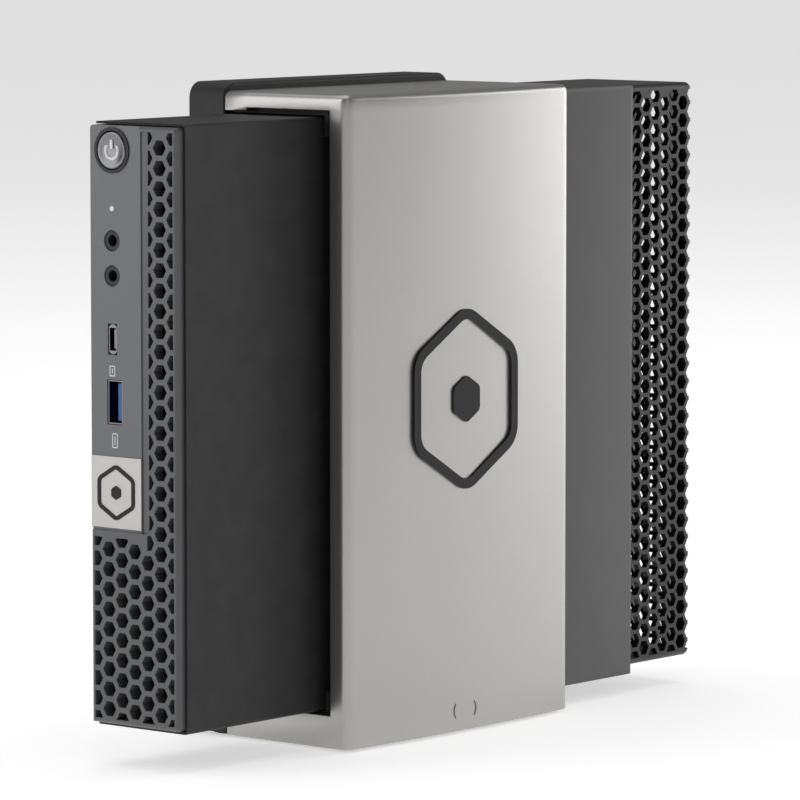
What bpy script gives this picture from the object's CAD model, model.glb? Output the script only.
"""Looks of an upright mini PC in its monitor-stand cradle.

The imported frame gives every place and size. Most of its parts keep their own shape and
get a worked finish. The rear cover, the smooth panel on the cable cover, the power button
and the small printed, plated and soldered details are modelled here. Lengths are in metres.
"""

from collections import namedtuple
import math

import bpy
from bpy.props import FloatProperty, FloatVectorProperty, IntProperty, PointerProperty
from mathutils import Matrix, Vector


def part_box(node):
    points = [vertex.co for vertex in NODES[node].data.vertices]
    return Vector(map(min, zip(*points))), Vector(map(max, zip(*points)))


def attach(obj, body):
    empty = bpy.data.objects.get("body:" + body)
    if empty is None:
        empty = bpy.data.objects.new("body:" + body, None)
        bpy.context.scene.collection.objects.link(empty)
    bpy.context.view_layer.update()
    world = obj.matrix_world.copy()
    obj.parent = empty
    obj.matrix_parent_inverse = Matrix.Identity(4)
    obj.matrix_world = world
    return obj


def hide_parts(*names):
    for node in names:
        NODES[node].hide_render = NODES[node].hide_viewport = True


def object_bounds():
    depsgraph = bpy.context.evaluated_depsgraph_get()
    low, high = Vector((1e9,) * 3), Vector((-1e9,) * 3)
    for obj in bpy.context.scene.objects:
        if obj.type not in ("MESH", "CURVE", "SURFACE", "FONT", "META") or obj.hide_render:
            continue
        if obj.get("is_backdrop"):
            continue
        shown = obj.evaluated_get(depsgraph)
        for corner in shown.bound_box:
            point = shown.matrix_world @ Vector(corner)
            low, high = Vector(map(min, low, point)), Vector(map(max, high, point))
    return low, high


bl_info = {
    "name": "Upright mini PC",
    "version": (1, 0, 0),
    "blender": (4, 5, 0),
    "location": "View3D > Sidebar > Mini PC",
    "description": "Finishes and small details of a mini PC on its stand cradle",
    "category": "Add Mesh",
}

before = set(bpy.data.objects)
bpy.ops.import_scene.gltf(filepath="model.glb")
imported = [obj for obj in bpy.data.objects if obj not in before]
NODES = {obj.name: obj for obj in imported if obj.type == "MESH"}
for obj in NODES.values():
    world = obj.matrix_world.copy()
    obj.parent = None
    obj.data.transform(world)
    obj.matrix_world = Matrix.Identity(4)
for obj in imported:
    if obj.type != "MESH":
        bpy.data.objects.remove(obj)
MM = 0.001
CAD_LOW, CAD_HIGH = (Vector(corner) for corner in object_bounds())
MIDDLE = (CAD_LOW + CAD_HIGH) / 2


# ------------------------------------------------------------ sizes and colours

def colour(name, description, value):
    """A colour property in linear light."""
    return FloatVectorProperty(name=name, description=description, subtype="COLOR",
                               size=3, min=0, max=1, default=value)


def length(name, description, millimetres):
    """A length property given in millimetres."""
    return FloatProperty(name=name, description=description, unit="LENGTH", precision=5,
                         min=0, default=millimetres * MM)


class CoverSizes(bpy.types.PropertyGroup):
    """Shape of the rear cover's sheet and of its finger marks."""
    wall: length("Wall", "Thickness of the cover's wall", 2.0)
    bow: length("Bow", "How far the middle of the face stands out", 2.0)
    edge: length("Edge radius", "Softened outer edge of the cover", 2.4)
    rim: length("Rim radius", "Softened edge of the notches and the open rim", 0.4)
    notch_near: length("Notch setback", "Cover's side left in front of the notch", 6.8)
    notch_low: length("Notch foot", "Height of the notch's lower edge", 11.2)
    notch_high: length("Notch head", "Height of the notch's upper edge", 196.0)
    step: length("Notch step", "Drop of the notch's upper edge near the spine", 0.9)
    step_long: length("Step length", "Length of the lowered stretch of that edge", 9.0)
    strips: IntProperty(name="Face strips", description="Strips across the bowed face",
                        min=4, default=28)
    mark_aside: length("Mark setting", "From the cover's middle line to a mark's centre", 2.4)
    mark_up: length("Mark height", "From the cover's lower end to a mark's centre", 6.5)
    mark_radius: length("Mark radius", "Radius of a finger mark's arc", 3.0)
    mark_line: length("Mark line", "Half the line width of a finger mark", 0.36)
    mark_sunk: length("Mark depth", "How far a mark's centre line is let into the face", 0.16)
    mark_cut: length("Mark cut", "From a mark's centre to the chord that ends its arc", 2.2)
    mark_edge: length("Mark edge", "Softened ends of a finger mark", 0.05)


class PanelSizes(bpy.types.PropertyGroup):
    """Shape of the smooth panel on the cable cover."""
    wide: length("Panel width", "Width of the panel with its setback", 43.4)
    setback: length("Panel setback", "From the cable cover's end to the panel", 0.1)
    proud: length("Panel height", "How far the panel stands off its wall", 0.5)
    lap: length("Panel lap", "How far the panel is let into its wall", 0.3)
    hang: length("Panel drop", "How far the panel reaches below the vents", 2.6)
    border: length("Border", "Width of the sloped border", 1.2)
    rise: length("Border rise", "Height of the sloped border", 0.25)
    edge: length("Panel edge", "Softened edge of the panel", 0.25)


class ButtonSizes(bpy.types.PropertyGroup):
    """Shape of the power button and of the symbol in its dish."""
    dish: length("Dish", "Depth of the hollow in the button", 0.6)
    rings: IntProperty(name="Dish rings", description="Rings that shape the hollow",
                       min=2, default=5)
    thick: length("Cap thickness", "Thickness of the button's cap", 3.2)
    edge: length("Cap edge", "Softened edge of the cap", 0.5)
    stem: length("Stem radius", "Radius of the stem behind the cap", 2.0)
    stem_lap: length("Stem lap", "How far the stem runs into the cap", 0.1)
    stem_edge: length("Stem edge", "Softened edge of the stem", 0.3)
    line: length("Symbol line", "Line width of the symbol", 0.9)
    line_edge: length("Symbol edge", "Softened ends of the symbol's lines", 0.06)
    arc: length("Symbol radius", "Radius of the symbol's open ring", 2.5)
    opening: length("Symbol opening", "Height at which the ring is open", 1.5)
    bar_low: length("Bar foot", "Foot of the symbol's bar above its centre", 0.5)
    bar_high: length("Bar head", "Head of the symbol's bar above its centre", 3.2)


class SocketSizes(bpy.types.PropertyGroup):
    """Sizes of the printed symbols and of what sits inside the sockets."""
    line: length("Printed line", "Line width of the port symbols", 0.28)
    ink: length("Print thickness", "Thickness of a printed symbol", 0.05)
    half_wide: length("Symbol half width", "Half the width of a port symbol", 1.1)
    drop: length("Symbol drop", "From a socket's lower end to its symbol's centre", 5.0)
    small_tall: length("Small symbol", "Half the height of the small socket's symbol", 1.6)
    wide_tall: length("Wide symbol", "Half the height of the wide socket's symbol", 2.2)
    blade_half: length("Blade half thickness", "Half the thickness of the small tongue", 0.42)
    blade_front: length("Blade front", "From the small socket's mouth to its tongue", 1.2)
    blade_back: length("Blade back", "From the small socket's mouth to its tongue's root", 6.0)
    blade_margin: length("Blade margin", "From the small socket's ends to its tongue", 1.6)
    blade_edge: length("Blade edge", "Softened edge of the small tongue", 0.12)
    row_margin: length("Row margin", "From the small socket's ends to its contacts", 2.1)
    pitch: length("Network pitch", "Pitch of the network socket's contacts", 1.02)
    network_seat: length("Network seat", "From the network socket's back to its contacts", 5.0)


class BoardSizes(bpy.types.PropertyGroup):
    """Sizes of the parts soldered to the main board."""
    can_radius: length("Capacitor radius", "Radius of a small round capacitor", 2.4)
    can_height: length("Capacitor height", "Height of a small round capacitor", 5.0)
    can_rim: length("Capacitor rim", "Width of the rim round a capacitor's top", 0.5)
    can_sink: length("Capacitor top", "Depth of a capacitor's top inside its rim", 0.15)
    can_edge: length("Capacitor edge", "Softened edge of a capacitor", 0.18)
    choke: length("Choke size", "Side of a square choke", 6.5)
    choke_height: length("Choke height", "Height of a choke's shoulder", 3.4)
    choke_rim: length("Choke rim", "Width of a choke's shoulder", 0.9)
    choke_rise: length("Choke rise", "How far a choke's top stands above its shoulder", 0.25)
    choke_edge: length("Choke edge", "Softened edge of a choke", 0.3)
    chip_height: length("Chip height", "Height of a small chip", 1.1)
    chip_edge: length("Chip edge", "Softened edge of a small chip", 0.12)


class Colours(bpy.types.PropertyGroup):
    """Base colours of the finishes."""
    silver: colour("Silver", "Blasted metal of the rear cover", (0.44, 0.432, 0.418))
    case: colour("Case", "Paint of the computer's lid", (0.0105, 0.0107, 0.0112))
    bezel: colour("Bezel", "Moulding of the front grille", (0.088, 0.090, 0.095))
    strip: colour("Port strip", "Smooth strip around the ports", (0.128, 0.134, 0.143))
    cable: colour("Cable cover", "Moulding of the smooth panel", (0.075, 0.075, 0.076))
    vent: colour("Vents", "Moulding of the vented shell", (0.007, 0.007, 0.0075))
    button: colour("Button", "Metal of the power button and sockets", (0.17, 0.17, 0.18))
    spine: colour("Spine", "Moulding of the spine behind the computer", (0.007, 0.007, 0.0075))
    steel: colour("Steel", "Plated sheet steel", (0.50, 0.51, 0.52))
    badge: colour("Badge", "Metal of the badge", (0.43, 0.42, 0.405))
    mark: colour("Mark", "Dark emblem, badge mark and button ring", (0.006, 0.006, 0.007))
    rubber: colour("Rubber", "Pads and feet", (0.014, 0.014, 0.014))
    board: colour("Board", "Solder mask of the boards", (0.010, 0.060, 0.034))
    copper: colour("Tracks", "Tracks seen through the solder mask", (0.022, 0.110, 0.060))
    epoxy: colour("Epoxy", "Moulded chips", (0.012, 0.012, 0.013))
    plated: colour("Plating", "Bright plated sockets", (0.62, 0.62, 0.63))
    gold: colour("Gold", "Plated contacts", (0.80, 0.56, 0.22))
    blue: colour("Tongue", "Tongue of the wide data socket", (0.012, 0.085, 0.30))
    white: colour("Print", "Printed symbols and light pipe", (0.78, 0.79, 0.80))
    dust: colour("Dust", "Dust settled on the case", (0.42, 0.41, 0.39))
    floor: colour("Floor", "Studio floor and backdrop", (0.90, 0.90, 0.90))


def setting(name):
    """One of the scene's groups of sizes or colours."""
    return getattr(bpy.context.scene, "minipc_" + name)


# ------------------------------------------------------------ shared shader effects

def socket(group, name, kind, way, value=None):
    """Add a named socket to a node group."""
    made = group.interface.new_socket(name=name, in_out=way, socket_type="NodeSocket" + kind)
    if value is not None:
        made.default_value = value


def start_group(name, inputs, outputs):
    """A new shader node group with its sockets, given as name, kind and default."""
    group = bpy.data.node_groups.new(name, "ShaderNodeTree")
    for label, kind, *value in inputs:
        socket(group, label, kind, "INPUT", *value)
    for label, kind in outputs:
        socket(group, label, kind, "OUTPUT")
    given = node(group, "NodeGroupInput").outputs
    out = node(group, "NodeGroupOutput").inputs
    return group, given, out


def link(tree, start, end):
    """Join two sockets."""
    tree.links.new(start, end)


def node(tree, kind, **values):
    """Add a node and set its plain properties."""
    made = tree.nodes.new(kind)
    for name, value in values.items():
        setattr(made, name, value)
    return made


def fill(tree, target, value):
    """Feed one input from a socket or a plain value."""
    if isinstance(value, bpy.types.NodeSocket):
        link(tree, value, target)
    else:
        target.default_value = value


def feed(tree, made, **inputs):
    """Fill a node's named inputs."""
    for name, value in inputs.items():
        fill(tree, made.inputs[name.replace("_", " ")], value)
    return made


def sums(tree, operation, *values):
    """One arithmetic node."""
    made = node(tree, "ShaderNodeMath", operation=operation)
    for slot, value in enumerate(values):
        fill(tree, made.inputs[slot], value)
    return made.outputs[0]


def vectors(tree, operation, *values):
    """One vector arithmetic node."""
    made = node(tree, "ShaderNodeVectorMath", operation=operation)
    for slot, value in enumerate(values):
        fill(tree, made.inputs[slot], value)
    return made.outputs[0]


def noise(tree, where, **inputs):
    """The value of a noise texture."""
    return feed(tree, node(tree, "ShaderNodeTexNoise"), Vector=where, **inputs).outputs["Fac"]


NOISE_MIDDLE = 0.5


def swing(tree, value, amount):
    """A noise value swung about zero by an amount."""
    return sums(tree, "MULTIPLY", sums(tree, "SUBTRACT", value, NOISE_MIDDLE), amount)


# Where a colour Mix node keeps its share, its two colours and its result.
MIX_SHARE, MIX_FIRST, MIX_SECOND, MIX_RESULT = 0, 6, 7, 2


def blend_colours(tree, share, first, second):
    """Mix two colours by a mask."""
    made = node(tree, "ShaderNodeMix", data_type="RGBA")
    for slot, value in ((MIX_SHARE, share), (MIX_FIRST, first), (MIX_SECOND, second)):
        fill(tree, made.inputs[slot], value)
    return made.outputs[MIX_RESULT]


def grain_group():
    """Fine surface grain with slow mottling and handling marks."""
    group, given, out = start_group(
        "Surface grain",
        (("Vector", "Vector"), ("Colour", "Color"), ("Grains per metre", "Float", 2500),
         ("Mottle", "Float", 0.06), ("Sparkle", "Float", 0.05), ("Roughness", "Float", 0.5),
         ("Smudge", "Float", 0.05)),
        (("Colour", "Color"), ("Roughness", "Float"), ("Height", "Float")))
    where = given["Vector"]
    fine = noise(group, where, Scale=given["Grains per metre"], Detail=2.0, Roughness=0.6)
    slow = noise(group, where, Scale=22.0, Detail=4.0)
    touch = noise(group, where, Scale=65.0, Detail=6.0, Roughness=0.7, Distortion=0.6)
    shift = swing(group, slow, given["Mottle"])
    speck = swing(group, fine, given["Sparkle"])
    level = sums(group, "ADD", sums(group, "ADD", shift, speck), 1.0)
    tint = node(group, "ShaderNodeVectorMath", operation="SCALE")
    link(group, given["Colour"], tint.inputs[0])
    link(group, level, tint.inputs["Scale"])
    link(group, tint.outputs[0], out["Colour"])
    smear = swing(group, touch, given["Smudge"])
    link(group, sums(group, "ADD", given["Roughness"], smear), out["Roughness"])
    link(group, fine, out["Height"])
    return group


def brush_group():
    """Long fine lines along one direction, as drawn or rolled metal has."""
    group, given, out = start_group(
        "Drawn lines",
        (("Vector", "Vector"), ("Stretch", "Vector", (8, 900, 900)),
         ("Roughness", "Float", 0.3), ("Strength", "Float", 0.12)),
        (("Roughness", "Float"), ("Height", "Float")))
    scaled = vectors(group, "MULTIPLY", given["Vector"], given["Stretch"])
    lines = noise(group, scaled, Scale=1.0, Detail=3.0)
    change = swing(group, lines, given["Strength"])
    link(group, sums(group, "ADD", given["Roughness"], change), out["Roughness"])
    link(group, lines, out["Height"])
    return group


def dust_group():
    """Pale dust, thickest on faces that look up."""
    group, given, out = start_group(
        "Settled dust",
        (("Vector", "Vector"), ("Colour", "Color"), ("Dust", "Color"), ("Amount", "Float", 0.1),
         ("Side share", "Float", 0.5)),
        (("Colour", "Color"),))
    facing = node(group, "ShaderNodeSeparateXYZ")
    link(group, node(group, "ShaderNodeNewGeometry").outputs["Normal"], facing.inputs[0])
    cloud = noise(group, given["Vector"], Scale=120.0, Detail=5.0)
    upward = sums(group, "MAXIMUM", facing.outputs["Z"], given["Side share"])
    mask = sums(group, "MULTIPLY", sums(group, "MULTIPLY", upward, cloud), given["Amount"])
    link(group, blend_colours(group, mask, given["Colour"], given["Dust"]), out["Colour"])
    return group


def cells(tree, where, distance, scale):
    """Distance from the nearest point of a cell pattern."""
    made = node(tree, "ShaderNodeTexVoronoi", distance=distance, feature="F1")
    return feed(tree, made, Vector=where, Scale=scale).outputs["Distance"]


def track_group():
    """Angular copper tracks and pads under a board's solder mask."""
    group, given, out = start_group(
        "Board tracks",
        (("Vector", "Vector"), ("Mask colour", "Color"), ("Track colour", "Color"),
         ("Lines per block", "Float", 9.0), ("Line from", "Float", 0.62), ("Pad radius", "Float", 0.22)),
        (("Colour", "Color"), ("Height", "Float")))
    blocks = cells(group, given["Vector"], distance="CHEBYCHEV", scale=95.0)
    bands = sums(group, "FRACT", sums(group, "MULTIPLY", blocks, given["Lines per block"]))
    lines = sums(group, "GREATER_THAN", bands, given["Line from"])
    pads = cells(group, given["Vector"], distance="EUCLIDEAN", scale=420.0)
    dots = sums(group, "LESS_THAN", pads, given["Pad radius"])
    mask = sums(group, "MAXIMUM", lines, dots)
    link(group, blend_colours(group, mask, given["Mask colour"], given["Track colour"]), out["Colour"])
    link(group, mask, out["Height"])
    return group


def skin_group():
    """Mask of what lies within a skin's thickness of a part's outer box."""
    group, given, out = start_group(
        "Outer skin",
        (("Vector", "Vector"), ("Middle", "Vector"), ("Half size", "Vector"), ("Skin", "Float", 0.3 * MM)),
        (("Mask", "Float"),))
    reach = vectors(group, "ABSOLUTE", vectors(group, "SUBTRACT", given["Vector"], given["Middle"]))
    parts = node(group, "ShaderNodeSeparateXYZ")
    link(group, vectors(group, "SUBTRACT", reach, given["Half size"]), parts.inputs[0])
    across, along, up = parts.outputs
    furthest = sums(group, "MAXIMUM", sums(group, "MAXIMUM", across, along), up)
    mask = sums(group, "GREATER_THAN", sums(group, "ADD", furthest, given["Skin"]), 0.0)
    link(group, mask, out["Mask"])
    return group


GROUPS = {}


def effect(tree, name):
    """Place one shared effect in a material, building it the first time."""
    makers = {"grain": grain_group, "brush": brush_group, "dust": dust_group,
              "tracks": track_group, "skin": skin_group}
    if name not in GROUPS:
        GROUPS[name] = makers[name]()
    return node(tree, "ShaderNodeGroup", node_tree=GROUPS[name])


# ------------------------------------------------------------ finishes

Finish = namedtuple("Finish", "tint metal rough grains bump mottle sparkle smudge dust")
FINISHES = {
    "silver": Finish("silver", 0.90, 0.31, 3200, 0.10, 0.05, 0.16, 0.05, 0.0),
    "case": Finish("case", 0.0, 0.56, 2600, 0.16, 0.10, 0.30, 0.08, 0.10),
    "bezel": Finish("bezel", 0.0, 0.34, 2400, 0.10, 0.06, 0.12, 0.06, 0.05),
    "strip": Finish("strip", 0.0, 0.36, 3000, 0.05, 0.05, 0.08, 0.08, 0.03),
    "cable": Finish("cable", 0.0, 0.50, 2400, 0.10, 0.06, 0.12, 0.06, 0.08),
    "vent": Finish("vent", 0.0, 0.40, 2400, 0.10, 0.10, 0.12, 0.08, 0.05),
    "button": Finish("button", 1.0, 0.20, 3000, 0.02, 0.05, 0.05, 0.05, 0.0),
    "spine": Finish("spine", 0.0, 0.48, 2200, 0.12, 0.10, 0.15, 0.08, 0.08),
    "badge": Finish("badge", 0.9, 0.34, 3400, 0.05, 0.04, 0.10, 0.05, 0.0),
    "mark": Finish("mark", 0.0, 0.22, 1800, 0.02, 0.10, 0.05, 0.06, 0.0),
    "rubber": Finish("rubber", 0.0, 0.78, 1500, 0.20, 0.15, 0.20, 0.10, 0.10),
    "epoxy": Finish("epoxy", 0.0, 0.55, 2800, 0.12, 0.12, 0.20, 0.10, 0.05),
    "blue": Finish("blue", 0.0, 0.32, 1800, 0.04, 0.08, 0.05, 0.05, 0.0),
    "white": Finish("white", 0.0, 0.38, 1800, 0.03, 0.05, 0.05, 0.05, 0.0),
    "gold": Finish("gold", 1.0, 0.24, 2600, 0.03, 0.08, 0.05, 0.10, 0.0),
    "floor": Finish("floor", 0.0, 0.62, 400, 0.0, 0.01, 0.01, 0.04, 0.0),
}
# Specular levels of the finishes that shine less than usual.
DULL = {"mark": 0.25, "spine": 0.35, "vent": 0.45, "case": 0.32}
USUAL_SHINE = 0.5
Metal = namedtuple("Metal", "tint rough strength stretch")
DRAWN = {
    "steel": Metal("steel", 0.34, 0.22, (10, 700, 700)),
    "plated": Metal("plated", 0.24, 0.12, (500, 14, 500)),
    "fins": Metal("plated", 0.30, 0.20, (12, 900, 500)),
}
# Strength and depth of the bumps that the materials raise.
GRAIN_DEPTH = 0.4 * MM
LINE_BUMP = (0.08, 0.2 * MM)
TRACK_BUMP = (0.4, 0.06 * MM)
SHEET_BUMP = (0.12, GRAIN_DEPTH)


def start_material(name):
    """A new material with its shader and object coordinates."""
    made = bpy.data.materials.new(name)
    made.use_nodes = True
    tree = made.node_tree
    tree.nodes.clear()
    shader = node(tree, "ShaderNodeBsdfPrincipled")
    output = node(tree, "ShaderNodeOutputMaterial")
    link(tree, shader.outputs[0], output.inputs["Surface"])
    where = node(tree, "ShaderNodeTexCoord").outputs["Object"]
    return made, tree, shader, where


def rgba(name):
    """One of the scene's colours with full alpha."""
    return (*getattr(setting("colours"), name), 1.0)


def raised(tree, shader, height, strength, depth):
    """Feed a height into the shader's normal."""
    bump = feed(tree, node(tree, "ShaderNodeBump"), Strength=strength, Distance=depth, Height=height)
    link(tree, bump.outputs[0], shader.inputs["Normal"])


def place_grain(tree, where, name):
    """The grain effect with one finish's values."""
    kind = FINISHES[name]
    return feed(tree, effect(tree, "grain"), Vector=where, Colour=rgba(kind.tint),
                Grains_per_metre=kind.grains, Mottle=kind.mottle, Sparkle=kind.sparkle,
                Roughness=kind.rough, Smudge=kind.smudge)


def metal_grain(tree, where, name):
    """The faint coarse grain under a drawn metal's lines."""
    kind = DRAWN[name]
    return feed(tree, effect(tree, "grain"), Vector=where, Colour=rgba(kind.tint), Grains_per_metre=900,
                Mottle=0.10, Sparkle=0.06, Roughness=kind.rough, Smudge=0.08)


def grained(name):
    """A moulded, painted or blasted finish."""
    kind = FINISHES[name]
    made, tree, shader, where = start_material(name)
    grain = place_grain(tree, where, name)
    shade = grain.outputs["Colour"]
    if kind.dust:
        shade = feed(tree, effect(tree, "dust"), Vector=where, Colour=shade, Dust=rgba("dust"),
                     Amount=kind.dust).outputs[0]
    link(tree, shade, shader.inputs["Base Color"])
    link(tree, grain.outputs["Roughness"], shader.inputs["Roughness"])
    shader.inputs["Metallic"].default_value = kind.metal
    shader.inputs["Specular IOR Level"].default_value = DULL.get(name, USUAL_SHINE)
    if kind.bump:
        raised(tree, shader, grain.outputs["Height"], kind.bump, GRAIN_DEPTH)
    return made


def drawn(name):
    """A rolled or drawn metal finish."""
    kind = DRAWN[name]
    made, tree, shader, where = start_material(name)
    grain = metal_grain(tree, where, name)
    lines = feed(tree, effect(tree, "brush"), Vector=where, Roughness=grain.outputs["Roughness"],
                 Strength=kind.strength, Stretch=kind.stretch)
    link(tree, grain.outputs["Colour"], shader.inputs["Base Color"])
    link(tree, lines.outputs["Roughness"], shader.inputs["Roughness"])
    shader.inputs["Metallic"].default_value = 1.0
    raised(tree, shader, lines.outputs["Height"], *LINE_BUMP)
    return made


def printed_board(name):
    """Green solder mask over tracks and pads."""
    made, tree, shader, where = start_material(name)
    tracks = feed(tree, effect(tree, "tracks"), Vector=where, Mask_colour=rgba("board"),
                  Track_colour=rgba("copper"))
    grain = feed(tree, effect(tree, "grain"), Vector=where, Colour=tracks.outputs["Colour"], Roughness=0.34)
    link(tree, grain.outputs["Colour"], shader.inputs["Base Color"])
    link(tree, grain.outputs["Roughness"], shader.inputs["Roughness"])
    shader.inputs["Coat Weight"].default_value = 0.3
    raised(tree, shader, tracks.outputs["Height"], *TRACK_BUMP)
    return made


def painted_outside(name):
    """Bare steel inside a folded part and the case's paint on its outer skin."""
    made, tree, shader, where = start_material(name)
    low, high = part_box(name)
    skin = feed(tree, effect(tree, "skin"), Vector=where, Middle=(low + high) / 2, Half_size=(high - low) / 2)
    mask = skin.outputs[0]
    metal = sums(tree, "SUBTRACT", 1.0, mask)
    paint = place_grain(tree, where, "case")
    bare = metal_grain(tree, where, "steel")
    shade = blend_colours(tree, mask, bare.outputs["Colour"], paint.outputs["Colour"])
    link(tree, shade, shader.inputs["Base Color"])
    paint_rough = sums(tree, "MULTIPLY", paint.outputs["Roughness"], mask)
    bare_rough = sums(tree, "MULTIPLY", bare.outputs["Roughness"], metal)
    link(tree, sums(tree, "ADD", paint_rough, bare_rough), shader.inputs["Roughness"])
    link(tree, metal, shader.inputs["Metallic"])
    shader.inputs["Specular IOR Level"].default_value = DULL["case"]
    raised(tree, shader, paint.outputs["Height"], *SHEET_BUMP)
    return made


MATERIALS = {}


def maker_of(name):
    """The function that makes a finish. A part's own name stands for its painted sheet."""
    if name in FINISHES:
        return grained
    if name in DRAWN:
        return drawn
    return printed_board if name == "board" else painted_outside


def finish(name):
    """The material of one finish, made once."""
    if name not in MATERIALS:
        MATERIALS[name] = maker_of(name)(name)
    return MATERIALS[name]


def dress(finish_name, names):
    """Give frame parts a finish."""
    for name in names:
        for holder in NODES[name].material_slots:
            holder.material = finish(finish_name)


# ------------------------------------------------------------ modelling helpers

SQUARE = 0.9  # least share of a face's normal that counts as looking one way
NEAR, LEFT = Vector((0, -1, 0)), Vector((-1, 0, 0))
SMOOTH_BELOW = math.radians(32)
SAME = 0.001 * MM  # how close two places count as one
ALONG = {"x": (0, math.pi / 2, 0), "y": (math.pi / 2, 0, 0)}  # turns that lay a piece's axis along X or Y


def deselect():
    """Leave object mode with nothing selected."""
    if bpy.context.object and bpy.context.object.mode != "OBJECT":
        bpy.ops.object.mode_set(mode="OBJECT")
    bpy.ops.object.select_all(action="DESELECT")


def apply_place():
    """Move a primitive's place, turn and size into its mesh."""
    bpy.ops.object.transform_apply(location=True, rotation=True, scale=True)


def start_cube(name, low, high):
    """A cube scaled to fill a box."""
    deselect()
    low = Vector(low)
    high = Vector(high)
    bpy.ops.mesh.primitive_cube_add(size=1, location=(low + high) / 2)
    piece = bpy.context.object
    piece.name = name
    piece.scale = high - low
    apply_place()
    return piece


def start_disc(name, middle, radius, depth, along, sides):
    """A round drum centred on a point with its axis along X or Y."""
    deselect()
    bpy.ops.mesh.primitive_cylinder_add(vertices=sides, radius=radius, depth=depth,
                                        location=middle, rotation=ALONG[along])
    piece = bpy.context.object
    piece.name = name
    apply_place()
    return piece


def start_ring(name, middle, radius, thick, along, sides, round_sides):
    """A thin round ring centred on a point with its axis along X or Y."""
    deselect()
    bpy.ops.mesh.primitive_torus_add(major_radius=radius, minor_radius=thick, major_segments=sides,
                                     minor_segments=round_sides, location=middle, rotation=ALONG[along])
    piece = bpy.context.object
    piece.name = name
    apply_place()
    return piece


def select_faces(piece, test):
    """In edit mode, select only the faces that pass a test on centre and normal."""
    bpy.ops.object.mode_set(mode="EDIT")
    bpy.ops.mesh.select_mode(type="FACE")
    bpy.ops.mesh.select_all(action="DESELECT")
    bpy.ops.object.mode_set(mode="OBJECT")
    for face in piece.data.polygons:
        face.select = test(face.center, face.normal)
    bpy.ops.object.mode_set(mode="EDIT")


def looking(way):
    """A test for faces that look one way."""
    return lambda centre, normal: normal.dot(way) > SQUARE


def slice_at(point, normal):
    """Cut every face of the edited piece along one plane."""
    bpy.ops.mesh.select_all(action="SELECT")
    bpy.ops.mesh.bisect(plane_co=point, plane_no=normal)


def cut_away(point, normal):
    """Cut the active piece along one plane, drop what lies past it and close the cut."""
    bpy.ops.object.mode_set(mode="EDIT")
    bpy.ops.mesh.select_all(action="SELECT")
    bpy.ops.mesh.bisect(plane_co=point, plane_no=normal, clear_outer=True, use_fill=True)
    bpy.ops.object.mode_set(mode="OBJECT")


def apply_modifier(piece, kind, **values):
    """Add one modifier, set it and apply it."""
    made = piece.modifiers.new(kind.title(), kind)
    for name, value in values.items():
        setattr(made, name, value)
    bpy.context.view_layer.objects.active = piece
    bpy.ops.object.modifier_apply(modifier=made.name)


def soften(piece, width, segments=2, angle=50):
    """Bevel a piece's sharp edges and shade it smooth."""
    apply_modifier(piece, "BEVEL", width=width, segments=segments, limit_method="ANGLE",
                   angle_limit=math.radians(angle), harden_normals=False)
    deselect()
    piece.select_set(True)
    bpy.context.view_layer.objects.active = piece
    bpy.ops.object.shade_smooth_by_angle(angle=SMOOTH_BELOW)


def settle(piece, body, finish_name):
    """Give a finished piece its finish and the body it rides on."""
    piece.data.materials.clear()
    piece.data.materials.append(finish(finish_name))
    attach(piece, body)


def merge(name, pieces):
    """Join several pieces into one object."""
    deselect()
    for piece in pieces:
        piece.select_set(True)
    bpy.context.view_layer.objects.active = pieces[0]
    bpy.ops.object.join()
    whole = bpy.context.object
    whole.name = name
    return whole


def spread_over(name, model, spots):
    """Copies of a piece modelled at X and Z zero, one over each spot, joined into one."""
    offsets = [Vector((x * MM, 0, z * MM)) for x, z in spots]
    made = [model]
    for offset in offsets[1:]:
        twin = model.copy()
        twin.data = model.data.copy()
        twin.data.transform(Matrix.Translation(offset))
        bpy.context.collection.objects.link(twin)
        made.append(twin)
    model.data.transform(Matrix.Translation(offsets[0]))
    return merge(name, made)


def bars(name, boxes, edge):
    """Small softened bars joined into one piece."""
    made = []
    for number, (low, high) in enumerate(boxes):
        bar = start_cube("%s_%d" % (name, number), low, high)
        soften(bar, edge, angle=40)
        made.append(bar)
    return merge(name, made)


# ------------------------------------------------------------ the stage

FLOOR_GLOW = 0.56
FLOOR_RADIUS = 40.0
SKY_STRENGTH = 0.20
SOFT_LIGHTS = (
    # name, place, size, watts
    ("right_softbox", (1.75, -0.62, 0.42), (0.9, 1.5), 12),
    ("left_softbox", (-1.25, 0.95, 0.70), (0.8, 1.4), 7),
    ("front_softbox", (-0.70, -1.80, 1.20), (1.2, 1.0), 2),
    ("top_softbox", (0.10, 0.30, 2.10), (2.4, 2.4), 16),
)
CAMERA_TURN = math.radians(-50.4)
CAMERA_LIFT = math.radians(5.62)
CAMERA_AWAY = 1.732
CAMERA_LENS = 247
CAMERA_REACH = 200.0
AIM_HEIGHT = 0.102
WHITE = (1, 1, 1, 1)


def soft_light(name, place, size, power):
    """A rectangular soft light aimed at the middle of the computer."""
    lamp = bpy.data.lights.new(name, "AREA")
    lamp.shape = "RECTANGLE"
    lamp.size, lamp.size_y = size
    lamp.energy = power
    holder = bpy.data.objects.new(name, lamp)
    holder.location = place
    holder.rotation_euler = (MIDDLE - place).to_track_quat("-Z", "Y").to_euler()
    bpy.context.collection.objects.link(holder)


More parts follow.
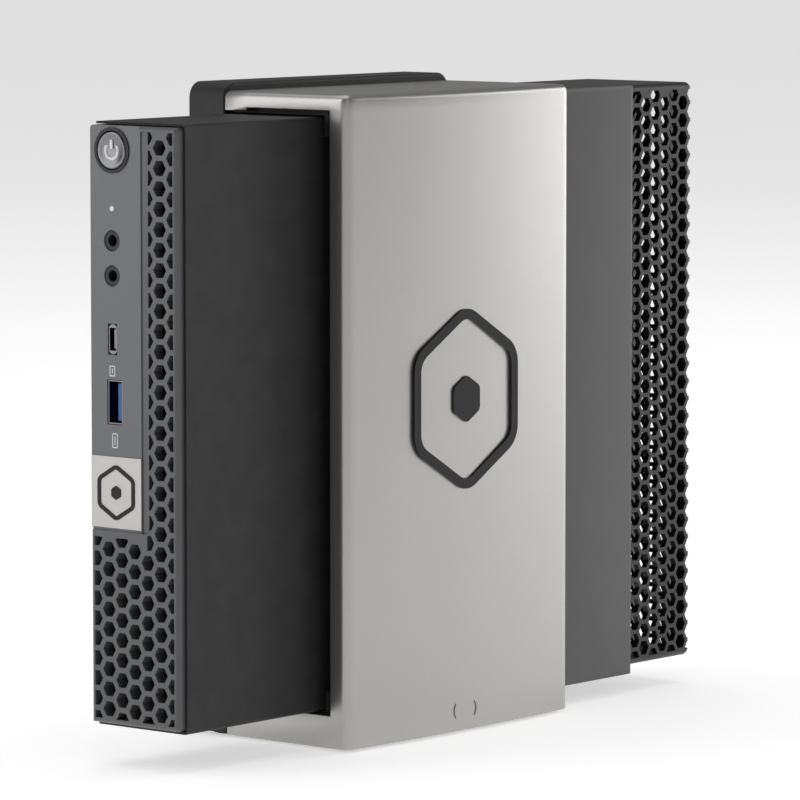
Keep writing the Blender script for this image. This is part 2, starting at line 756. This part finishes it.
def lay_floor():
    """A wide pale floor that glows faintly."""
    deselect()
    bpy.ops.mesh.primitive_circle_add(vertices=96, radius=FLOOR_RADIUS, fill_type="NGON",
                                      location=(MIDDLE.x, MIDDLE.y, CAD_LOW.z))
    floor = bpy.context.object
    floor.name = "studio_floor"
    apply_place()
    pale = finish("floor")
    shader = next(made for made in pale.node_tree.nodes if made.type == "BSDF_PRINCIPLED")
    shader.inputs["Emission Color"].default_value = WHITE
    shader.inputs["Emission Strength"].default_value = FLOOR_GLOW
    floor.data.materials.append(pale)
    floor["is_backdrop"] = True


def set_camera():
    """A long lens a little above the bezel's side of the rear cover."""
    level = math.cos(CAMERA_LIFT)
    away = Vector((math.sin(CAMERA_TURN) * level, -math.cos(CAMERA_TURN) * level, math.sin(CAMERA_LIFT)))
    lens = bpy.data.cameras.new("Camera")
    lens.lens = CAMERA_LENS
    lens.clip_end = CAMERA_REACH
    camera = bpy.data.objects.new("Camera", lens)
    camera.location = Vector((MIDDLE.x, MIDDLE.y, AIM_HEIGHT)) + away * CAMERA_AWAY
    camera.rotation_euler = (-away).to_track_quat("-Z", "Y").to_euler()
    bpy.context.collection.objects.link(camera)
    bpy.context.scene.camera = camera


class MINIPC_OT_studio(bpy.types.Operator):
    """Lay the pale floor and set the soft lights and the camera"""
    bl_idname = "minipc.studio"
    bl_label = "Studio"

    def execute(self, context):
        lay_floor()
        world = bpy.data.worlds.new("Studio")
        world.use_nodes = True
        sky = world.node_tree.nodes["Background"]
        sky.inputs["Color"].default_value = WHITE
        sky.inputs["Strength"].default_value = SKY_STRENGTH
        context.scene.world = world
        context.scene.view_settings.view_transform = "Standard"
        for name, place, size, power in SOFT_LIGHTS:
            soft_light(name, Vector(place), size, power)
        set_camera()
        return {"FINISHED"}


# ------------------------------------------------------------ the pieces

CARRIED = {
    "case": ("side_cover", "back_plate", "cable_arm", "cradle", "cradle_rivets", "foot_bracket",
             "cover_clips"),
    "bezel": ("front_bezel",),
    "strip": ("port_panel", "power_button"),
    "cable": ("drive_caddy",),
    "vent": ("cable_cover",),
    "spine": ("mount_spine", "lid_screw", "cable_cover_screw", "blower_housing", "fan_rotor",
              "antenna_plug"),
    "steel": ("plate_screws", "board_screws"),
    "chassis_tray": ("chassis_tray",),
    "rear_panel": ("rear_panel",),
    "rubber": ("rubber_pads", "case_feet"),
    "silver": ("rear_cover",),
    "mark": ("cover_emblem", "badge_mark", "button_ring"),
    "badge": ("badge_plate",),
    "epoxy": ("power_switch", "audio_jacks", "cpu_socket", "memory_sockets", "ssd_socket",
              "wlan_socket", "cell_holder", "speaker", "power_inlet"),
    "button": ("usb_c_socket", "usb_a_socket"),
    "plated": ("processor", "coin_cell", "display_sockets", "rear_usb_sockets", "network_socket"),
    "fins": ("heat_sink", "drive"),
    "board": ("motherboard", "memory_modules", "ssd_card", "wlan_card"),
    "blue": ("usb_a_tongue",),
    "white": ("light_pipe",),
    "gold": ("cable_cover_nut",),
}


class MINIPC_OT_finishes(bpy.types.Operator):
    """Give every carried part its worked finish"""
    bl_idname = "minipc.finishes"
    bl_label = "Finishes"

    def execute(self, context):
        for finish_name, names in CARRIED.items():
            dress(finish_name, names)
        return {"FINISHED"}


def slice_cover(sizes, low, high, face):
    """Start the cover as a box cut into strips and along its notches."""
    cover = start_cube("cover_shell", (low.x, face, low.z), high)
    bpy.ops.object.mode_set(mode="EDIT")
    for strip in range(1, sizes.strips):
        slice_at((low.x + (high.x - low.x) * strip / sizes.strips, 0, 0), (1, 0, 0))
    for level in (sizes.notch_low, sizes.notch_high - sizes.step, sizes.notch_high):
        slice_at((0, 0, level), (0, 0, 1))
    for depth in (face + sizes.notch_near, high.y - sizes.step_long):
        slice_at((0, depth, 0), (0, 1, 0))
    return cover


def open_cover(cover, sizes, high, face):
    """Take away the cover's open sides and the two side notches."""
    def is_open(centre, normal):
        lowered = centre.y > high.y - sizes.step_long
        top = sizes.notch_high - sizes.step if lowered else sizes.notch_high
        notch = sizes.notch_low < centre.z < top and centre.y > face + sizes.notch_near
        return (abs(normal.x) > SQUARE and notch) or normal.y > SQUARE or normal.z < -SQUARE

    select_faces(cover, is_open)
    bpy.ops.mesh.delete(type="FACE")


def round_cover(cover, sizes, low, high, face):
    """Round the outer edges of the cover's face and roof."""
    bpy.ops.mesh.select_mode(type="EDGE")
    bpy.ops.mesh.select_all(action="DESELECT")
    bpy.ops.object.mode_set(mode="OBJECT")
    for edge in cover.data.edges:
        ends = [cover.data.vertices[number].co for number in edge.vertices]
        front = all(abs(end.y - face) < SAME for end in ends)
        upper = all(abs(end.z - high.z) < SAME for end in ends)
        outer = any(all(abs(end.x - side) < SAME for end in ends) for side in (low.x, high.x))
        edge.select = (front and outer) or (upper and (front or outer))
    bpy.ops.object.mode_set(mode="EDIT")
    bpy.ops.mesh.bevel(offset=sizes.edge, segments=6, profile=0.5, affect="EDGES")
    bpy.ops.object.mode_set(mode="OBJECT")


def bow_cover(cover, sizes, low, high, face):
    """Push the middle of the face out, fading over four edge radii behind it."""
    fade = 4 * sizes.edge
    middle = (high.x + low.x) / 2
    for vertex in cover.data.vertices:
        across = (vertex.co.x - middle) / (high.x - middle)
        reach = max(0.0, 1 - (vertex.co.y - face) / fade)
        vertex.co.y -= sizes.bow * (1 - across * across) * reach


class MINIPC_OT_rear_cover(bpy.types.Operator):
    """Model the bowed rear cover as one sheet with softened edges"""
    bl_idname = "minipc.rear_cover"
    bl_label = "Rear cover"

    def execute(self, context):
        sizes = setting("cover")
        low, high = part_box("rear_cover")
        face = low.y + sizes.bow
        cover = slice_cover(sizes, low, high, face)
        open_cover(cover, sizes, high, face)
        round_cover(cover, sizes, low, high, face)
        bow_cover(cover, sizes, low, high, face)
        apply_modifier(cover, "SOLIDIFY", thickness=sizes.wall, offset=-1, use_even_offset=True,
                       use_quality_normals=True)
        soften(cover, sizes.rim, angle=55)
        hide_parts("rear_cover")
        settle(cover, "rear_cover", "silver")
        return {"FINISHED"}


class MINIPC_OT_finger_marks(bpy.types.Operator):
    """Model the two small arcs near the foot of the rear cover"""
    bl_idname = "minipc.finger_marks"
    bl_label = "Finger marks"

    def execute(self, context):
        sizes = setting("cover")
        low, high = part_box("rear_cover")
        marks = []
        for side in (-1, 1):
            across = (low.x + high.x) / 2 + side * sizes.mark_aside
            spot = (across, low.y + sizes.mark_sunk, low.z + sizes.mark_up)
            mark = start_ring("mark", spot, sizes.mark_radius, sizes.mark_line, "y",
                              sides=64, round_sides=10)
            cut_away((across + side * sizes.mark_cut, 0, 0), (-side, 0, 0))
            soften(mark, sizes.mark_edge, segments=1)
            marks.append(mark)
        settle(merge("finger_marks", marks), "rear_cover", "strip")
        return {"FINISHED"}


class MINIPC_OT_cable_panel(bpy.types.Operator):
    """Model the smooth panel that laps over the near wall of the cable cover"""
    bl_idname = "minipc.cable_panel"
    bl_label = "Cable cover panel"

    def execute(self, context):
        sizes = setting("panel")
        low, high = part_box("cable_cover")
        panel = start_cube("cable_panel",
                           (low.x + sizes.setback, low.y - sizes.proud, low.z - sizes.hang),
                           (low.x + sizes.wide, low.y + sizes.lap, high.z))
        select_faces(panel, looking(NEAR))
        bpy.ops.mesh.inset(thickness=sizes.border, depth=0)
        bpy.ops.transform.translate(value=NEAR * sizes.rise)
        bpy.ops.object.mode_set(mode="OBJECT")
        soften(panel, sizes.edge, segments=3, angle=12)
        settle(panel, "cable_cover", "cable")
        return {"FINISHED"}


def dish_depth(sizes, ring):
    """Depth of the button's dish at one of its rings, counted from the rim."""
    share = 1 - ring / sizes.rings
    return sizes.dish * (1 - share * share)


class MINIPC_OT_power_button(bpy.types.Operator):
    """Model the dished power button on its stem"""
    bl_idname = "minipc.power_button"
    bl_label = "Power button"

    def execute(self, context):
        sizes = setting("button")
        low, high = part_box("power_button")
        middle = (low + high) / 2
        radius = (high.y - low.y) / 2
        back = low.x + sizes.thick
        cap = start_disc("cap", ((low.x + back) / 2, middle.y, middle.z), radius, sizes.thick, "x", sides=72)
        select_faces(cap, looking(LEFT))
        for ring in range(1, sizes.rings):
            bpy.ops.mesh.inset(thickness=radius / sizes.rings, depth=0)
            sink = dish_depth(sizes, ring) - dish_depth(sizes, ring - 1)
            bpy.ops.transform.translate(value=(sink, 0, 0))
        bpy.ops.object.mode_set(mode="OBJECT")
        soften(cap, sizes.edge, segments=4)
        stem = start_disc("stem", ((back + high.x) / 2, middle.y, middle.z), sizes.stem,
                          high.x - back + 2 * sizes.stem_lap, "x", sides=32)
        soften(stem, sizes.stem_edge)
        button = merge("button_dished", [cap, stem])
        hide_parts("power_button")
        settle(button, "power_button", "button")
        return {"FINISHED"}


# Places of the symbol's ring and of its bar's face, as shares of the dish's depth.
RING_SEAT, BAR_FACE = 0.8, 0.1


class MINIPC_OT_button_symbol(bpy.types.Operator):
    """Model the plain on-off symbol in the button's dish"""
    bl_idname = "minipc.button_symbol"
    bl_label = "Button symbol"

    def execute(self, context):
        sizes = setting("button")
        low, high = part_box("power_button")
        middle = (low + high) / 2
        seat = (low.x + sizes.dish * RING_SEAT, middle.y, middle.z)
        ring = start_ring("ring", seat, sizes.arc, sizes.line / 2, "x", sides=48, round_sides=8)
        cut_away((0, 0, middle.z + sizes.opening), (0, 0, 1))
        bar = start_cube("bar",
                         (low.x + sizes.dish * BAR_FACE, middle.y - sizes.line / 2, middle.z + sizes.bar_low),
                         (low.x + sizes.dish, middle.y + sizes.line / 2, middle.z + sizes.bar_high))
        symbol = merge("button_symbol", [ring, bar])
        soften(symbol, sizes.line_edge)
        settle(symbol, "power_button", "white")
        return {"FINISHED"}


class MINIPC_OT_port_prints(bpy.types.Operator):
    """Print the small plain symbols beside the front sockets"""
    bl_idname = "minipc.port_prints"
    bl_label = "Port symbols"

    def execute(self, context):
        sizes = setting("socket")
        line = sizes.line
        wide = sizes.half_wide
        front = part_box("port_panel")[0].x
        shapes = []
        for socket_name, tall in (("usb_c_socket", sizes.small_tall), ("usb_a_socket", sizes.wide_tall)):
            low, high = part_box(socket_name)
            y = (low.y + high.y) / 2
            z = low.z - sizes.drop
            inner = wide - line / 2
            short = tall - 3 * line
            strokes = ((-wide, line - wide, -tall, tall),
                       (wide - line, wide, -tall, tall),
                       (-inner, inner, tall - line, tall),
                       (-inner, inner, -tall, line - tall),
                       (-line / 2, line / 2, -short, short))
            for left, right, foot, head in strokes:
                shapes.append(((front - sizes.ink, y + left, z + foot), (front, y + right, z + head)))
        settle(bars("port_symbols", shapes, sizes.ink / 3), "bezel", "white")
        return {"FINISHED"}


def spaced(low, high, count):
    """Middles of equal shares of a stretch."""
    return [low + (high - low) * (number + 0.5) / count for number in range(count)]


Row = namedtuple("Row", "start end proud sunk half edge count")
# Contact strips in millimetres: their ends measured from the socket's mouth, how far they stand
# off their seat and into it, half their width, their softened edge, and how many there are.
CONTACT_ROWS = {
    "data_contacts": Row(1.0, 7.0, 0.06, 0.02, 0.45, 0.03, 4),
    "small_contacts": Row(1.6, 4.4, 0.04, 0.02, 0.12, 0.015, 8),
    "network_contacts": Row(-11.0, -2.5, 0.2, 0.2, 0.18, 0.05, 8),
}


def contact_row(name, mouth, seat, low, high):
    """A row of plated strips along X, spaced evenly over a height."""
    row = CONTACT_ROWS[name]
    half = row.half * MM
    front, back = mouth + row.start * MM, mouth + row.end * MM
    outer, inner = seat - row.proud * MM, seat + row.sunk * MM
    strips = [((front, outer, z - half), (back, inner, z + half)) for z in spaced(low, high, row.count)]
    settle(bars(name, strips, row.edge * MM), "computer", "gold")


class MINIPC_OT_contacts(bpy.types.Operator):
    """Fit the plated contacts of three sockets and the small socket's tongue"""
    bl_idname = "minipc.contacts"
    bl_label = "Socket contacts"

    def execute(self, context):
        sizes = setting("socket")
        low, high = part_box("usb_a_tongue")
        contact_row("data_contacts", low.x, low.y, low.z, high.z)
        low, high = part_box("usb_c_socket")
        y = (low.y + high.y) / 2
        blade = start_cube("small_tongue",
                           (low.x + sizes.blade_front, y - sizes.blade_half, low.z + sizes.blade_margin),
                           (low.x + sizes.blade_back, y + sizes.blade_half, high.z - sizes.blade_margin))
        soften(blade, sizes.blade_edge, angle=40)
        settle(blade, "computer", "epoxy")
        contact_row("small_contacts", low.x, y - sizes.blade_half,
                    low.z + sizes.row_margin, high.z - sizes.row_margin)
        low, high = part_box("network_socket")
        z = (low.z + high.z) / 2
        reach = CONTACT_ROWS["network_contacts"].count * sizes.pitch / 2
        contact_row("network_contacts", high.x, high.y - sizes.network_seat, z - reach, z + reach)
        return {"FINISHED"}


# Places on the main board as X and Z in millimetres. A chip's third number is its side.
CAPACITOR_SPOTS = ((-25, 176), (-19, 176), (-13, 176), (-7, 176), (40, 100), (40, 92), (-104, 60), (-104, 68))
CHOKE_SPOTS = ((-23, 184), (-14, 184), (-5, 184), (4, 184), (38, 76))
CHIP_SPOTS = ((20, 80, 14), (-6, 100, 9), (32, 108, 7), (-100, 96, 8), (-102, 110, 5), (12, 30, 9),
              (30, 40, 6))


class MINIPC_OT_capacitors(bpy.types.Operator):
    """Solder the round capacitors onto the main board"""
    bl_idname = "minipc.capacitors"
    bl_label = "Capacitors"

    def execute(self, context):
        sizes = setting("board")
        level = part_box("motherboard")[0].y
        can = start_disc("round_can", (0, level - sizes.can_height / 2, 0), sizes.can_radius,
                         sizes.can_height, "y", sides=28)
        select_faces(can, looking(NEAR))
        bpy.ops.mesh.inset(thickness=sizes.can_rim, depth=-sizes.can_sink)
        bpy.ops.object.mode_set(mode="OBJECT")
        soften(can, sizes.can_edge)
        settle(spread_over("capacitors", can, CAPACITOR_SPOTS), "computer", "fins")
        return {"FINISHED"}


class MINIPC_OT_chokes(bpy.types.Operator):
    """Solder the square chokes onto the main board"""
    bl_idname = "minipc.chokes"
    bl_label = "Chokes"

    def execute(self, context):
        sizes = setting("board")
        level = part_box("motherboard")[0].y
        half = sizes.choke / 2
        choke = start_cube("choke", (-half, level - sizes.choke_height, -half), (half, level, half))
        select_faces(choke, looking(NEAR))
        bpy.ops.mesh.inset(thickness=sizes.choke_rim, depth=sizes.choke_rise)
        bpy.ops.object.mode_set(mode="OBJECT")
        soften(choke, sizes.choke_edge)
        settle(spread_over("chokes", choke, CHOKE_SPOTS), "computer", "epoxy")
        return {"FINISHED"}


class MINIPC_OT_board_chips(bpy.types.Operator):
    """Solder the small chips onto the main board"""
    bl_idname = "minipc.board_chips"
    bl_label = "Board chips"

    def execute(self, context):
        sizes = setting("board")
        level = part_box("motherboard")[0].y
        chips = []
        for x, z, side in CHIP_SPOTS:
            corner = Vector((x - side / 2, 0, z - side / 2)) * MM
            far = Vector((x + side / 2, 0, z + side / 2)) * MM
            corner.y = level - sizes.chip_height
            far.y = level
            chips.append(start_cube("chip", corner, far))
            soften(chips[-1], sizes.chip_edge)
        settle(merge("board_chips", chips), "computer", "epoxy")
        return {"FINISHED"}


# ------------------------------------------------------------ sidebar and start

STEPS = (MINIPC_OT_studio, MINIPC_OT_finishes, MINIPC_OT_rear_cover, MINIPC_OT_finger_marks,
         MINIPC_OT_cable_panel, MINIPC_OT_power_button, MINIPC_OT_button_symbol, MINIPC_OT_port_prints,
         MINIPC_OT_contacts, MINIPC_OT_capacitors, MINIPC_OT_chokes, MINIPC_OT_board_chips)
SETTINGS = {"cover": CoverSizes, "panel": PanelSizes, "button": ButtonSizes, "socket": SocketSizes,
            "board": BoardSizes, "colours": Colours}


class MINIPC_PT_sidebar(bpy.types.Panel):
    """Lists the steps and the sizes and colours that they read"""
    bl_idname = "MINIPC_PT_sidebar"
    bl_label = "Mini PC"
    bl_space_type = "VIEW_3D"
    bl_region_type = "UI"
    bl_category = "Mini PC"

    def draw(self, context):
        for step in STEPS:
            self.layout.operator(step.bl_idname)
        for name, kind in SETTINGS.items():
            for value in kind.__annotations__:
                self.layout.prop(setting(name), value)


CLASSES = (*SETTINGS.values(), *STEPS, MINIPC_PT_sidebar)


def register():
    """Make the classes and the scene's settings known to Blender."""
    for made in CLASSES:
        bpy.utils.register_class(made)
    for name, kind in SETTINGS.items():
        setattr(bpy.types.Scene, "minipc_" + name, PointerProperty(type=kind))


def unregister():
    """Take the settings and the classes away again."""
    for name in SETTINGS:
        delattr(bpy.types.Scene, "minipc_" + name)
    for made in reversed(CLASSES):
        bpy.utils.unregister_class(made)


def main():
    """Build everything in order."""
    register()
    for step in STEPS:
        getattr(bpy.ops.minipc, step.bl_idname.split(".")[1])()
    deselect()


if __name__ == "__main__":
    main()
